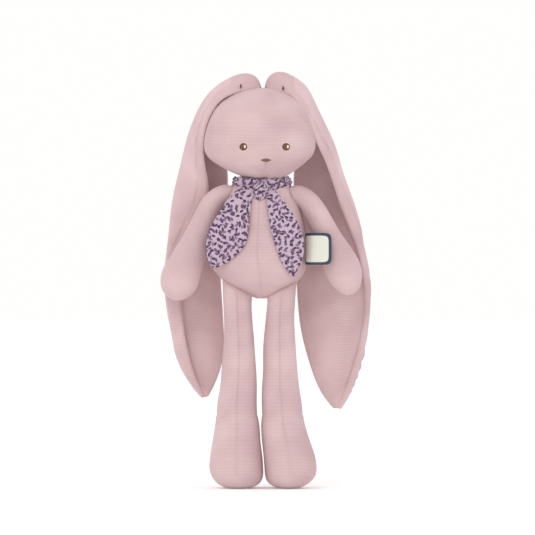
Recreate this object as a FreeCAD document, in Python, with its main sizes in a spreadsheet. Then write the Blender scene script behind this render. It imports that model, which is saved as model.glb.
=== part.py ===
import FreeCAD, Part
import math
import os

# Stuffed velour rabbit with long lop ears and a printed cotton scarf.
# +Z up, the face looks along -Y, +X is the toy's own left. Millimetres.
# The origin is the middle of the bounding box, at floor level under the soles.
# "left" and "right" in the names are the toy's own.
#
# Every stuffed part is a pair of lofts through elliptical sections: the outer
# one is the velour skin's outside, the inner one is the stuffing. The skin is
# the difference, cut along the sewing seams into its flat-cut panels.

V = FreeCAD.Vector
doc = FreeCAD.newDocument("rabbit")
sheet = doc.addObject("Spreadsheet::Sheet", "Sizes")
count = [0]
values = {}


def cell(alias, value):
    """Puts a plain number in the next cell under a word alias and returns its expression."""
    count[0] += 1
    address = "A%d" % count[0]
    sheet.set(address, "%.4f" % value)
    sheet.setAlias(address, alias)
    values[alias] = value
    return "Sizes." + alias


# ---- driving dimensions -------------------------------------------------------
for alias, value in (
    ("velour", 1.2),          # thickness of the ribbed velour with its nap
    ("thread_proud", 0.6),    # how far satin stitch stands off the face
    ("glint_proud", 0.3),     # and the glint off the eye
    ("cutter", 400.0),        # side of the blocks that part the skins at the seams
    ("head_seam_depth", -2.0),
    ("body_seam_depth", 0.0),
    ("body_centre", -3.6),
    ("seat_level", 166.0),
    ("arm_seam_depth", -5.0),
    ("sole_thickness", 3.0),
    ("eye_radius", 3.65),
    ("eye_level", 287.0),
    ("left_eye_across", 18.1),
    ("right_eye_across", -17.7),
    ("glint_high", 2.3),
    ("glint_wide", 1.5),
    ("nose_half_width", 4.95),
    ("nose_half_height", 1.6),
    ("nose_across", 1.2),
    ("nose_level", 276.0),
    ("mouth_width", 0.7),
    ("mouth_height", 3.4),
    ("neck_wide", 14.0),
    ("neck_round", 5.0),
    ("neck_level", 255.2),
    ("knot_wide", 4.9),
    ("knot_deep", 4.6),
    ("knot_high", 7.0),
    ("ear_layer", 1.6),       # one layer of an ear, velour with its lining
    ("ear_gap", 0.15),
    ("tail_thickness", 2.4),
    ("label_thickness", 1.2),
):
    cell(alias, value)


def ellipse(name, centre, major, minor, rotation, aliases):
    e = doc.addObject("Part::Ellipse", name)
    e.MajorRadius, e.MinorRadius = max(major, minor), min(major, minor)
    e.Placement = FreeCAD.Placement(V(*centre), rotation)
    e.setExpression("MajorRadius", cell(aliases + "_major", major))
    e.setExpression("MinorRadius", cell(aliases + "_minor", minor))
    for axis, at in zip("xyz", centre):
        e.setExpression(".Placement.Base." + axis, cell(aliases + "_" + axis, at))
    return e


def loft(name, sections, turn):
    """sections: (x, y, z, major, minor, tilt about Y). turn puts the major axis along Y."""
    made = []
    for i, (x, y, z, major, minor, tilt) in enumerate(sections):
        r = FreeCAD.Rotation(V(0, 1, 0), tilt)
        if turn:
            r = r.multiply(FreeCAD.Rotation(V(0, 0, 1), 90))
        made.append(ellipse("%s_section_%d" % (name, i), (x, y, z), major, minor, r, "%s_%s" % (name, "abcdefghijklmnopqrst"[i])))
    body = doc.addObject("Part::Loft", name)
    body.Sections = made
    body.Solid = True
    body.Ruled = False
    return body


def inset(sections, t, grow=0.0):
    """The same sections t further in, with the two end caps moved in along the path by t."""
    out = []
    n = len(sections)
    for i, (x, y, z, major, minor, tilt) in enumerate(sections):
        if i in (0, n - 1):
            j = 1 if i == 0 else n - 2
            d = V(sections[j][0] - x, sections[j][1] - y, sections[j][2] - z)
            d.normalize()
            x, y, z = x + d.x * t, y + d.y * t, z + d.z * t
        f = (lambda q: max(q - t, 0.72 * q)) if t > 0 else (lambda q: q - t)
        out.append((x, y, z, f(major), f(minor), tilt))
    return out


def cut(name, base, tool):
    o = doc.addObject("Part::Cut", name)
    o.Base, o.Tool = base, tool
    return o


def common(name, base, tool):
    o = doc.addObject("Part::Common", name)
    o.Base, o.Tool = base, tool
    return o


def block(name, low):
    """A large block whose low corner is at low; it keeps what lies on its side of a seam plane."""
    b = doc.addObject("Part::Box", name)
    for side in ("Length", "Width", "Height"):
        b.setExpression(side, "Sizes.cutter")
    b.Placement = FreeCAD.Placement(V(*low), FreeCAD.Rotation())
    return b


C = values["cutter"]
nodes = {}


def node(name, obj):
    obj.Label = name
    nodes[name] = obj
    return obj


# ---- head ---------------------------------------------------------------------
HX = -3.8
HY = values["head_seam_depth"]
head_sections = [
    (HX, HY + 1.0, 260.6, 12.5, 11.0, 0),
    (HX, HY + 0.5, 263.3, 20.5, 17.5, 0),
    (HX, HY, 268.4, 30.0, 25.0, 0),
    (HX, HY, 275.2, 39.2, 30.8, 0),
    (HX, HY, 282.8, 45.2, 34.4, 0),
    (HX, HY, 291.2, 47.0, 36.0, 0),
    (HX, HY, 302.2, 46.2, 35.6, 0),
    (HX, HY, 314.1, 42.0, 32.5, 0),
    (HX, HY, 324.2, 34.5, 27.0, 0),
    (HX, HY, 331.0, 26.5, 21.0, 0),
    (HX, HY, 335.6, 17.0, 13.6, 0),
    (HX, HY, 337.8, 8.5, 6.8, 0),
]
t = values["velour"]
head_outer = loft("head_outer", head_sections, False)
head_filling = node("head_filling", loft("head_inner", inset(head_sections, t), False))
head_skin = cut("head_skin", head_outer, head_filling)
front_of_head = block("front_of_head", (-C / 2, HY - C, 100))
back_of_head = block("back_of_head", (-C / 2, HY, 100))
left_of_head = block("left_of_head", (HX, -C / 2, 100))
node("face_panel", common("face_panel_c", head_skin, front_of_head))
head_back = common("head_back", head_skin, back_of_head)
node("head_back_left_panel", common("head_back_left_c", head_back, left_of_head))
node("head_back_right_panel", cut("head_back_right_c", head_back, left_of_head))

# Embroidery: satin stitch that follows the face, cut from a skin grown off the head.
p, g = values["thread_proud"], values["glint_proud"]
grown = loft("head_grown", inset(head_sections, -p), False)
grown_more = loft("head_grown_more", inset(head_sections, -p - g), False)
stitch_skin = cut("stitch_skin", grown, head_outer)
glint_skin = cut("glint_skin", grown_more, grown)


def rod(name, across, level, wide, high, reach=(-60, -8)):
    """An elliptical rod along Y through the face."""
    c = doc.addObject("Part::Ellipse", name + "_oval")
    vertical = high > wide
    c.MajorRadius, c.MinorRadius = max(high, wide), min(high, wide)
    r = FreeCAD.Rotation(V(1, 0, 0), -90)
    if vertical:
        r = r.multiply(FreeCAD.Rotation(V(0, 0, 1), 90))
    c.Placement = FreeCAD.Placement(V(across, reach[0], level), r)
    e = doc.addObject("Part::Extrusion", name)
    e.Base = c
    e.DirMode = "Custom"
    e.Dir = V(0, 1, 0)
    e.LengthFwd = reach[1] - reach[0]
    e.Solid = True
    return c, e


for side in ("left", "right"):
    c, e = rod(side + "_eye_rod", values[side + "_eye_across"], values["eye_level"], values["eye_radius"], values["eye_radius"])
    c.setExpression("MajorRadius", "Sizes.eye_radius")
    c.setExpression("MinorRadius", "Sizes.eye_radius")
    node(side + "_eye", common(side + "_eye_c", stitch_skin, e))
    c, e = rod(side + "_glint_rod", values[side + "_eye_across"] + 1.6, values["eye_level"] + 0.2, values["glint_wide"], values["glint_high"])
    c.setExpression("MajorRadius", "Sizes.glint_high")
    c.setExpression("MinorRadius", "Sizes.glint_wide")
    node(side + "_eye_glint", common(side + "_eye_glint_c", glint_skin, e))
c, e = rod("nose_rod", values["nose_across"], values["nose_level"], values["nose_half_width"], values["nose_half_height"])
c.setExpression("MajorRadius", "Sizes.nose_half_width")
c.setExpression("MinorRadius", "Sizes.nose_half_height")
node("nose", common("nose_c", stitch_skin, e))
mouth = doc.addObject("Part::Box", "mouth_bar")
mouth.setExpression("Length", "Sizes.mouth_width")
mouth.setExpression("Height", "Sizes.mouth_height")
mouth.Width = 52
mouth.Placement = FreeCAD.Placement(V(values["nose_across"] - 0.35, -60, 270.8), FreeCAD.Rotation())
node("mouth_stitch", common("mouth_stitch_c", stitch_skin, mouth))

# ---- neck ---------------------------------------------------------------------
# A roll of stuffing between the body and the head, round about the nodding axis.
neck = doc.addObject("Part::Ellipsoid", "neck_roll")
neck.Radius1, neck.Radius2, neck.Radius3 = 5, 14, 5
neck.setExpression("Radius1", "Sizes.neck_round")
neck.setExpression("Radius2", "Sizes.neck_wide")
neck.setExpression("Radius3", "Sizes.neck_round")
neck.Placement = FreeCAD.Placement(V(HX, 0, values["neck_level"]), FreeCAD.Rotation())
node("neck_filling", neck)

# ---- torso --------------------------------------------------------------------
torso_sections = [
    (-3.4, 0, 249.8, 25.5, 17.5, 0),
    (-3.5, 0, 246.5, 29.5, 20.0, 0),
    (-3.7, 0, 238.0, 34.2, 22.4, 0),
    (-4.6, 0, 225.0, 37.6, 24.4, 0),
    (-5.4, 0, 210.0, 40.0, 25.6, 0),
    (-5.6, 0, 195.0, 40.6, 25.8, 0),
    (-4.6, 0, 184.5, 38.0, 23.6, 0),
    (-3.9, 0, 177.0, 32.0, 19.0, 0),
    (-3.4, 0, 170.5, 22.5, 13.0, 0),
    (-3.0, 0, 165.5, 12.0, 8.0, 0),
    (-3.0, 0, 163.0, 6.0, 4.0, 0),
]
torso_outer = loft("torso_outer", torso_sections, False)
torso_filling = node("torso_filling", loft("torso_inner", inset(torso_sections, t), False))
torso_skin = cut("torso_skin", torso_outer, torso_filling)
under_seat = block("under_seat", (-C / 2, -C / 2, values["seat_level"] - C))
node("seat_panel", common("seat_panel_c", torso_skin, under_seat))
torso_upper = cut("torso_upper", torso_skin, under_seat)
front_of_body = block("front_of_body", (-C / 2, values["body_seam_depth"] - C, 0))
left_of_body = block("left_of_body", (values["body_centre"], -C / 2, 0))
torso_front = common("torso_front", torso_upper, front_of_body)
node("torso_front_left_panel", common("torso_front_left_c", torso_front, left_of_body))
node("torso_front_right_panel", cut("torso_front_right_c", torso_front, left_of_body))
node("torso_back_panel", cut("torso_back_c", torso_upper, front_of_body))

# ---- arms ---------------------------------------------------------------------
AY = values["arm_seam_depth"]
arm_tables = {
    "right": [
        (-37.8, AY, 245.6, 9.6, 7.6, -80),
        (-43.4, AY, 241.6, 9.8, 8.6, -105),
        (-49.0, AY, 233.0, 10.2, 9.6, -130),
        (-54.8, AY, 219.0, 10.8, 10.2, -150),
        (-60.5, AY, 204.0, 12.4, 11.2, -156),
        (-66.8, AY, 189.5, 14.6, 12.2, -156),
        (-71.3, AY, 177.5, 16.2, 12.6, -160),
        (-73.4, AY, 168.5, 14.6, 11.4, -164),
        (-74.6, AY, 161.8, 9.8, 8.0, -166),
        (-75.0, AY, 158.4, 5.2, 4.4, -166),
    ],
    "left": [
        (31.1, AY, 245.6, 9.6, 7.6, 80),
        (36.8, AY, 241.6, 9.8, 8.6, 105),
        (42.6, AY, 233.0, 10.2, 9.6, 130),
        (49.6, AY, 219.0, 10.8, 10.2, 150),
        (56.4, AY, 205.5, 12.4, 11.2, 154),
        (62.6, AY, 192.0, 14.4, 12.2, 154),
        (67.2, AY, 181.5, 15.8, 12.6, 160),
        (69.6, AY, 173.0, 14.2, 11.4, 164),
        (71.2, AY, 166.0, 9.6, 8.0, 166),
        (71.8, AY, 162.6, 5.0, 4.4, 166),
    ],
}

def arc(c, major_dir, minor_dir, a, b, low, high, steps):
    """Points on an oval about c from angle low to angle high, in degrees."""
    out = []
    for i in range(steps + 1):
        u = math.radians(low + (high - low) * i / steps)
        q = c + major_dir * (a * math.cos(u)) + minor_dir * (b * math.sin(u))
        out.append(q)
    return out


def facet_loft(rings):
    """A closed solid through rings of points with the same count."""
    wires = [Part.makePolygon(ring + [ring[0]]) for ring in rings]
    s = Part.makeLoft(wires, True, True)
    for tries in range(3):
        if s.Volume > 0:
            break
        s = Part.makeSolid(s.Shells[0]) if tries != 1 else Part.makeSolid(s.Shells[0].reversed())
    return s


def feature(name, shape):
    o = doc.addObject("Part::Feature", name)
    o.Shape = shape.copy()
    o.Placement = FreeCAD.Placement()
    return o


def skins(prefix, stations, halves, closed_ends):
    """Sewn skin panels and the stuffing inside them. stations: (centre, major direction, minor direction, a, b).
    halves: name to (low angle, high angle). closed_ends: whether the panels close over each end."""
    rings = []
    n = len(stations)
    for c, u, w, a, b in stations:
        rings.append((c, u, w, a, b, max(a - t, 0.7 * a), max(b - t, 0.7 * b if b > 2 else 0.5 * b)))
    fill = [arc(c, u, w, ai, bi, 0, 330, 11) for c, u, w, a, b, ai, bi in rings]
    node(prefix + "_filling", feature(prefix + "_stuffing", facet_loft(fill)))
    full = list(rings)
    for end, near in ((0, 1), (n - 1, n - 2)):
        if not closed_ends[0 if end == 0 else 1]:
            continue
        c, u, w, a, b, ai, bi = rings[end]
        d = c - rings[near][0]
        d.normalize()
        extra = (c + d * t * 0.8, u, w, a * 0.86, b * 0.86, a * 0.08, b * 0.08)
        full = [extra] + full if end == 0 else full + [extra]
    for name, (low, high) in halves.items():
        sections = []
        for c, u, w, a, b, ai, bi in full:
            sections.append(arc(c, u, w, a, b, low, high, 6) + arc(c, u, w, ai, bi, high, low, 6))
        node(prefix + "_" + name, feature(prefix + "_" + name + "_cut", facet_loft(sections)))


def record_stations(prefix, rows, names):
    """Keeps a table of section sizes in the sheet and gives back what the sheet holds."""
    back = []
    for i, row in enumerate(rows):
        for key, value in zip(names, row):
            cell("%s_%s_%s" % (prefix, "abcdefghijklmnopqrst"[i], key), value)
        back.append([values["%s_%s_%s" % (prefix, "abcdefghijklmnopqrst"[i], key)] for key in names])
    return back


for side, sections in arm_tables.items():
    stations = []
    for x, y, z, a, b, tilt in record_stations(side + "_arm", sections, ("x", "y", "z", "half_width", "half_depth", "tilt")):
        r = FreeCAD.Rotation(V(0, 1, 0), tilt)
        stations.append((V(x, y, z), r.multVec(V(1, 0, 0)), V(0, 1, 0), a, b))
    skins(side + "_arm", stations, {"back_panel": (0, 180), "front_panel": (180, 360)}, (False, True))

# ---- legs ---------------------------------------------------------------------
# The leg tops are sewn flat into the hip seam, so they thin to a wedge there.

def leg(side, cx, top):
    """Sections down one leg, as (x, y, z, half width, half depth), narrow wedge first."""
    rows = [
        (top, -6.0, 162.4, 12.6, 1.0),
        (cx[0], -5.8, 155.0, 12.4, 5.4),
        (cx[1], -4.8, 146.0, 12.0, 9.9),
        (cx[2], -3.4, 133.0, 12.5, 12.4),
        (cx[3], -3.0, 108.0, 14.1, 14.0),
        (cx[4], -3.0, 86.0, 15.6, 15.4),
        (cx[5], -3.6, 66.0, 17.0, 17.2),
        (cx[6], -5.4, 52.0, 18.8, 19.6),
        (cx[7], -8.4, 36.0, 20.7, 23.2),
        (cx[8], -10.6, 22.0, 22.3, 26.0),
        (cx[9], -10.8, 12.0, 22.0, 26.2),
        (cx[10], -10.6, 6.0, 19.8, 24.2),
        (cx[10], -10.4, 3.0, 17.2, 21.8),
    ]
    return rows


leg_rows = {
    "right": leg("right", (-22.9, -22.9, -22.0, -21.4, -22.3, -23.1, -23.3, -23.4, -23.6, -23.3, -22.2), -23.0),
    "left": leg("left", (14.0, 14.0, 13.0, 13.0, 13.3, 14.8, 16.0, 18.8, 21.6, 22.2, 20.6), 14.4),
}


for side, rows in leg_rows.items():
    stations = [(V(x, y, z), V(1, 0, 0), V(0, 1, 0), a, b) for x, y, z, a, b in record_stations(side + "_leg", rows, ("x", "y", "z", "half_width", "half_depth"))]
    outer, inner = ((-90, 90), (90, 270)) if side == "left" else ((90, 270), (-90, 90))
    skins(side + "_leg", stations, {"outer_panel": outer, "inner_panel": inner}, (False, False))
    c, u, w, a, b = stations[-1]
    down = V(0, 0, -1)
    node(side + "_sole", feature(side + "_sole_pad", facet_loft([
        arc(c, u, w, a, b, 0, 330, 11),
        arc(c + down * 1.8, u, w, a - 1.6, b - 1.8, 0, 330, 11),
        arc(c + down * values["sole_thickness"], u, w, a - 4.0, b - 4.4, 0, 330, 11)])))

# ---- ears ---------------------------------------------------------------------
# Each ear is two long leaf-shaped layers, sewn round the edge. It stands up from
# the crown, folds over and hangs past the cheek and behind the arm.
# Stations: middle of the front edge and of the rear edge, as (x, y, z).
ear_rows = {
    # front edge, rear edge, how far the layer bows out between them as a part of its width
    "right": [
        ((-5.5, -8.0, 340.6), (-5.5, 7.0, 340.6), 0.05),
        ((-13.0, -9.0, 345.8), (-13.0, 10.0, 345.8), 0.08),
        ((-24.0, -10.0, 341.0), (-25.0, 14.0, 341.4), 0.10),
        ((-37.0, -10.5, 332.0), (-39.0, 18.0, 332.4), 0.14),
        ((-46.8, -9.5, 318.0), (-48.5, 22.0, 318.4), 0.20),
        ((-52.6, -8.0, 299.0), (-49.5, 27.0, 299.0), 0.26),
        ((-54.5, -5.0, 280.0), (-45.0, 33.0, 279.0), 0.30),
        ((-58.6, 3.0, 262.0), (-39.0, 36.0, 261.0), 0.30),
        ((-69.0, 14.0, 240.0), (-38.0, 36.5, 239.0), 0.18),
        ((-79.0, 20.0, 210.0), (-38.0, 35.0, 209.0), 0.10),
        ((-82.4, 22.0, 180.0), (-37.5, 34.0, 180.0), 0.07),
        ((-81.2, 22.5, 155.0), (-36.5, 33.0, 155.0), 0.06),
        ((-77.0, 23.0, 128.0), (-35.8, 32.0, 128.0), 0.06),
        ((-70.4, 23.5, 105.0), (-36.6, 31.0, 105.0), 0.06),
        ((-62.0, 24.0, 89.0), (-41.6, 30.0, 89.0), 0.05),
        ((-53.5, 25.0, 76.5), (-48.0, 28.0, 76.5), 0.04),
    ],
    "left": [
        ((5.5, -8.0, 340.6), (5.5, 7.0, 340.6), 0.05),
        ((12.5, -9.0, 346.8), (12.5, 10.0, 346.8), 0.08),
        ((24.0, -10.0, 341.8), (24.0, 14.0, 342.2), 0.10),
        ((33.5, -10.5, 333.0), (35.0, 18.0, 333.6), 0.14),
        ((42.4, -10.5, 317.0), (44.0, 22.0, 317.4), 0.20),
        ((49.8, -8.5, 296.0), (47.0, 27.0, 296.0), 0.26),
        ((55.0, -5.0, 276.0), (40.0, 33.0, 275.0), 0.30),
        ((62.0, 3.0, 257.0), (30.0, 36.0, 256.0), 0.28),
        ((73.0, 14.0, 236.0), (27.0, 36.5, 235.0), 0.16),
        ((83.0, 20.0, 207.0), (27.0, 35.0, 206.0), 0.09),
        ((87.2, 22.0, 180.0), (27.2, 34.0, 180.0), 0.06),
        ((87.0, 22.5, 154.0), (28.6, 33.0, 154.0), 0.05),
        ((83.6, 23.0, 120.0), (33.0, 32.0, 120.0), 0.05),
        ((77.0, 23.5, 92.0), (42.6, 31.0, 92.0), 0.05),
        ((69.6, 24.0, 75.0), (52.0, 30.0, 75.0), 0.04),
        ((63.6, 25.0, 66.5), (58.6, 28.0, 66.5), 0.03),
    ],
}


def slab(front, back):
    """A closed solid between two grids of points, front and back, one ring of points at each station."""
    return facet_loft([[V(*q) for q in f] + [V(*q) for q in reversed(b)] for f, b in zip(front, back)])


def ear_grid(rows, offset, edge):
    """Points across the ear at every station, bowed outwards by a part of the width, then offset along the normal."""
    grid = []
    n = len(rows)
    pts = []
    for i, (f, r, bow_part) in enumerate(rows):
        f, r = V(*f), V(*r)
        across = r - f
        width = across.Length
        along = (V(*rows[min(i + 1, n - 1)][0]) + V(*rows[min(i + 1, n - 1)][1])) - (V(*rows[max(i - 1, 0)][0]) + V(*rows[max(i - 1, 0)][1]))
        normal = across.cross(along)
        normal.normalize()
        if i == 0 and normal.z < 0:
            normal = normal * -1
        pts.append((f, across, width, normal, bow_part))
    # keep the normals on one side all the way down
    for i in range(1, n):
        if pts[i][3].dot(pts[i - 1][3]) < 0:
            pts[i] = pts[i][:3] + (pts[i][3] * -1, pts[i][4])
    for f, across, width, normal, bow_part in pts:
        row = []
        for k in range(7):
            u = k / 6.0
            bow = bow_part * width * 4 * u * (1 - u)
            thin = edge + (1 - edge) * (4 * u * (1 - u)) ** 0.5
            q = f + across * u + normal * (bow + offset * thin)
            row.append((q.x, q.y, q.z))
        grid.append(row)
    return grid


layer, gap = values["ear_layer"], values["ear_gap"]
for side, rows in ear_rows.items():
    outer = slab(ear_grid(rows, layer + gap, 0.45), ear_grid(rows, gap / 2, 0.45))
    inner = slab(ear_grid(rows, -gap / 2, 0.45), ear_grid(rows, -layer - gap, 0.45))
    node(side + "_ear_outer_panel", feature(side + "_ear_outer", outer))
    node(side + "_ear_inner_panel", feature(side + "_ear_inner", inner))

# ---- scarf --------------------------------------------------------------------
band_outer = loft("band_outer", [(-3.0, 0.4, 250.2, 26.6, 20.4, 0), (-3.0, 0.4, 254.0, 28.4, 21.8, 0), (-3.0, 0.4, 258.0, 26.6, 20.6, 0)], False)
band_inner = loft("band_inner", [(-3.0, 0.4, 248.0, 21.0, 15.4, 0), (-3.0, 0.4, 254.0, 21.0, 15.4, 0), (-3.0, 0.4, 262.0, 21.0, 15.4, 0)], False)
node("scarf_neckband", cut("scarf_neckband_c", band_outer, band_inner))
knot = doc.addObject("Part::Ellipsoid", "knot_roll")
knot.setExpression("Radius1", "Sizes.knot_high")
knot.setExpression("Radius2", "Sizes.knot_wide")
knot.setExpression("Radius3", "Sizes.knot_deep")
knot.Placement = FreeCAD.Placement(V(-3.4, -26.6, 250.6), FreeCAD.Rotation())
node("scarf_knot", knot)


def plate(name, outline, lean, depth, thickness):
    """A PartDesign pad of an outline drawn in the XZ plane, leaning forward by lean degrees from its top edge."""
    body = doc.addObject("PartDesign::Body", name + "_body")
    sketch = body.newObject("Sketcher::SketchObject", name + "_outline")
    plane = [f for f in body.Origin.OriginFeatures if f.Role == "XZ_Plane"][0]
    sketch.AttachmentSupport = [(plane, "")]
    sketch.MapMode = "FlatFace"
    top = max(q[1] for q in outline)
    n = len(outline)
    for i in range(n):
        x1, z1 = outline[i]
        x2, z2 = outline[(i + 1) % n]
        sketch.addGeometry(Part.LineSegment(V(x1, z1 - top, 0), V(x2, z2 - top, 0)), False)
    pad = body.newObject("PartDesign::Pad", name + "_pad")
    pad.Profile = sketch
    pad.setExpression("Length", thickness)
    body.Placement = FreeCAD.Placement(V(0, depth, top), FreeCAD.Rotation(V(1, 0, 0), -lean))
    return body


left_tail = [(2.3, 244.4), (3.0, 236.0), (5.2, 225.0), (6.6, 214.0), (10.0, 201.5), (15.0, 189.0), (18.6, 183.0), (24.5, 178.2), (27.2, 183.0), (31.6, 192.0), (33.2, 200.0), (33.4, 207.0), (31.0, 216.0), (26.6, 226.0), (21.4, 235.0), (15.4, 243.0), (9.8, 247.2)]
right_tail = [(-10.4, 244.4), (-11.2, 240.0), (-12.3, 229.0), (-13.6, 214.5), (-15.0, 207.5), (-19.6, 201.0), (-25.4, 195.0), (-32.2, 190.0), (-37.2, 187.0), (-43.2, 185.8), (-46.8, 190.0), (-49.0, 199.2), (-48.6, 208.6), (-46.0, 218.6), (-41.0, 228.0), (-36.0, 235.6), (-30.0, 244.0), (-22.0, 248.6), (-14.0, 249.0)]
node("scarf_left_tail", plate("scarf_left_tail", left_tail, 3.0, -26.6, "Sizes.tail_thickness"))
node("scarf_right_tail", plate("scarf_right_tail", right_tail, 3.0, -26.6, "Sizes.tail_thickness"))

# ---- side label ---------------------------------------------------------------
# A plain woven tab, sewn in the side seam and bent forward over the arm.
def strip(name, path, width, low, high):
    body = doc.addObject("PartDesign::Body", name + "_body")
    sketch = body.newObject("Sketcher::SketchObject", name + "_profile")
    plane = [f for f in body.Origin.OriginFeatures if f.Role == "XY_Plane"][0]
    sketch.AttachmentSupport = [(plane, "")]
    sketch.MapMode = "FlatFace"
    pts = []
    left, right = [], []
    for i, (x, y) in enumerate(path):
        x0, y0 = path[max(i - 1, 0)]
        x1, y1 = path[min(i + 1, len(path) - 1)]
        d = math.hypot(x1 - x0, y1 - y0)
        nx, ny = (y1 - y0) / d * width / 2, -(x1 - x0) / d * width / 2
        left.append((x + nx, y + ny))
        right.append((x - nx, y - ny))
    pts = left + right[::-1]
    for i in range(len(pts)):
        a, b = pts[i], pts[(i + 1) % len(pts)]
        sketch.addGeometry(Part.LineSegment(V(a[0], a[1], 0), V(b[0], b[1], 0)), False)
    pad = body.newObject("PartDesign::Pad", name + "_pad")
    pad.Profile = sketch
    pad.Length = high - low
    body.Placement = FreeCAD.Placement(V(0, 0, low), FreeCAD.Rotation())
    return body


node("side_label", strip("side_label", [(34.6, -10.6), (37.6, -16.0), (42.0, -19.6), (49.0, -20.6), (56.4, -21.0)], values["label_thickness"], 188.4, 215.2))

# ---- check and write ----------------------------------------------------------
doc.recompute()
bad = []
for o in doc.Objects:
    if "Invalid" in o.State or "Error" in o.State:
        bad.append("%s is %s" % (o.Name, o.State))
for name, o in nodes.items():
    if o.Shape.isNull() or not o.Shape.isValid() or o.Shape.Volume <= 0 or not o.Shape.Solids:
        bad.append("%s has no valid solid, volume %.1f" % (name, o.Shape.Volume))
if bad:
    raise RuntimeError("; ".join(bad))
os.makedirs("parts", exist_ok=True)
for name, o in nodes.items():
    o.Shape.exportStep("parts/%s.step" % name)
    b = o.Shape.BoundBox
    print("%-26s %9.1f mm3  %d solid  x %.1f %.1f  y %.1f %.1f  z %.1f %.1f" % (name, o.Shape.Volume, len(o.Shape.Solids), b.XMin, b.XMax, b.YMin, b.YMax, b.ZMin, b.ZMax))
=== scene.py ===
import bpy, math
import numpy as np
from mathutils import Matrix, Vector


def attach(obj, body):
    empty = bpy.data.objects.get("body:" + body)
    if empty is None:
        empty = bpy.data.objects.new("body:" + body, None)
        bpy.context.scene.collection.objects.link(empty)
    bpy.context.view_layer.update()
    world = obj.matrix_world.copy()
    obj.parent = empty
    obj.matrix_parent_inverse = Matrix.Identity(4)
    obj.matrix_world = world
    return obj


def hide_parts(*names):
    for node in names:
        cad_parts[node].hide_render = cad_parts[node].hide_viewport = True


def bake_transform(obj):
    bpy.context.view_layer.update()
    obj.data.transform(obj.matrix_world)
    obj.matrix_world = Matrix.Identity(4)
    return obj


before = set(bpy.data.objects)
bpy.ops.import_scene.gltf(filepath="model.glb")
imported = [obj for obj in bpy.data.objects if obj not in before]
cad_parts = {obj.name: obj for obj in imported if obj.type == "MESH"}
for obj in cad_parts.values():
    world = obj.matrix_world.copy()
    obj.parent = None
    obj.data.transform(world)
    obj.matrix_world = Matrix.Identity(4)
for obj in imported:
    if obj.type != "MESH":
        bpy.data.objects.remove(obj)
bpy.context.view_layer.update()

S = 0.8454e-3          # metres for one unit of the drawn outlines
GROUND = 487.5


def X(px): return (px - 264.0) * S
def Z(py): return (GROUND - py) * S
def mm(v): return v * 0.001


def spline(table, m):
    """Rows of numbers resampled to m rows along a Catmull-Rom curve, evenly by length of the first three columns."""
    t = np.array(table, float)
    n = len(t)
    d = np.linalg.norm(np.diff(t[:, :3], axis=0), axis=1) + 1e-9
    k = np.concatenate([[0], np.cumsum(d)])
    q = np.linspace(0, k[-1], m)
    slopes = np.zeros_like(t)
    for i in range(n):
        a, b = max(i - 1, 0), min(i + 1, n - 1)
        slopes[i] = (t[b] - t[a]) / (k[b] - k[a])
    out = np.zeros((m, t.shape[1]))
    j = np.clip(np.searchsorted(k, q, side="right") - 1, 0, n - 2)
    h = (k[j + 1] - k[j])
    s = ((q - k[j]) / h)[:, None]
    h = h[:, None]
    out = (2*s**3 - 3*s**2 + 1) * t[j] + (s**3 - 2*s**2 + s) * h * slopes[j] + (-2*s**3 + 3*s**2) * t[j+1] + (s**3 - s**2) * h * slopes[j+1]
    return out


def wob(p, seed, size):
    """A smooth repeatable lumpiness, between about -1 and 1."""
    p = p / size
    return (np.sin(p[..., 0] * 1.9 + seed) * np.cos(p[..., 2] * 1.3 + 2.1 * seed) + np.sin(p[..., 2] * 2.3 - seed + p[..., 1]) * np.cos(p[..., 0] * 0.9 + p[..., 1] * 1.7)) * 0.5


def grid_mesh(name, P, UV, closed_u=True, caps=(True, True)):
    """A mesh from a grid P[v][u] of points in metres with UVs in metres."""
    nv, nu = P.shape[:2]
    verts = [tuple(p) for p in P.reshape(-1, 3)]
    faces, uvs = [], []
    last = nu if closed_u else nu - 1
    for i in range(nv - 1):
        for j in range(last):
            k = (j + 1) % nu
            faces.append((i * nu + j, i * nu + k, (i + 1) * nu + k, (i + 1) * nu + j))
            du = UV[i, j, 0] + (UV[i, k, 0] - UV[i, j, 0] if k else UV[i, 1, 0] - UV[i, 0, 0])
            dn = UV[i + 1, j, 0] + (UV[i + 1, k, 0] - UV[i + 1, j, 0] if k else UV[i + 1, 1, 0] - UV[i + 1, 0, 0])
            uvs.append([(UV[i, j, 0], UV[i, j, 1]), (du, UV[i, j, 1]), (dn, UV[i + 1, j, 1]), (UV[i + 1, j, 0], UV[i + 1, j, 1])])
    for end, i in ((0, 0), (1, nv - 1)):
        if caps[end] and closed_u:
            c = P[i].mean(0)
            verts.append(tuple(c))
            ci = len(verts) - 1
            for j in range(nu):
                k = (j + 1) % nu
                f = (i * nu + k, i * nu + j, ci) if end == 0 else (i * nu + j, i * nu + k, ci)
                faces.append(f)
                a = (UV[i, j, 0], UV[i, j, 1])
                uvs.append([a, a, a])
    me = bpy.data.meshes.new(name)
    me.from_pydata(verts, [], faces)
    layer = me.uv_layers.new(name="UVMap")
    flat = [c for f in uvs for c in f]
    layer.data.foreach_set("uv", np.array(flat, float).ravel())
    me.polygons.foreach_set("use_smooth", [True] * len(me.polygons))
    me.update()
    ob = bpy.data.objects.new(name, me)
    bpy.context.scene.collection.objects.link(ob)
    import bmesh
    bm = bmesh.new(); bm.from_mesh(me)
    bmesh.ops.recalc_face_normals(bm, faces=bm.faces)
    bm.to_mesh(me); bm.free()
    return ob


def groove(theta, at, radius, width, depth):
    """Depth of a sewn seam at angle at, on a section of that radius."""
    d = np.abs((theta - at + np.pi) % (2 * np.pi) - np.pi) * radius
    return depth * np.exp(-(d / width) ** 2) - 0.35 * depth * np.exp(-((d - 2.4 * width) / (1.6 * width)) ** 2)


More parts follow.
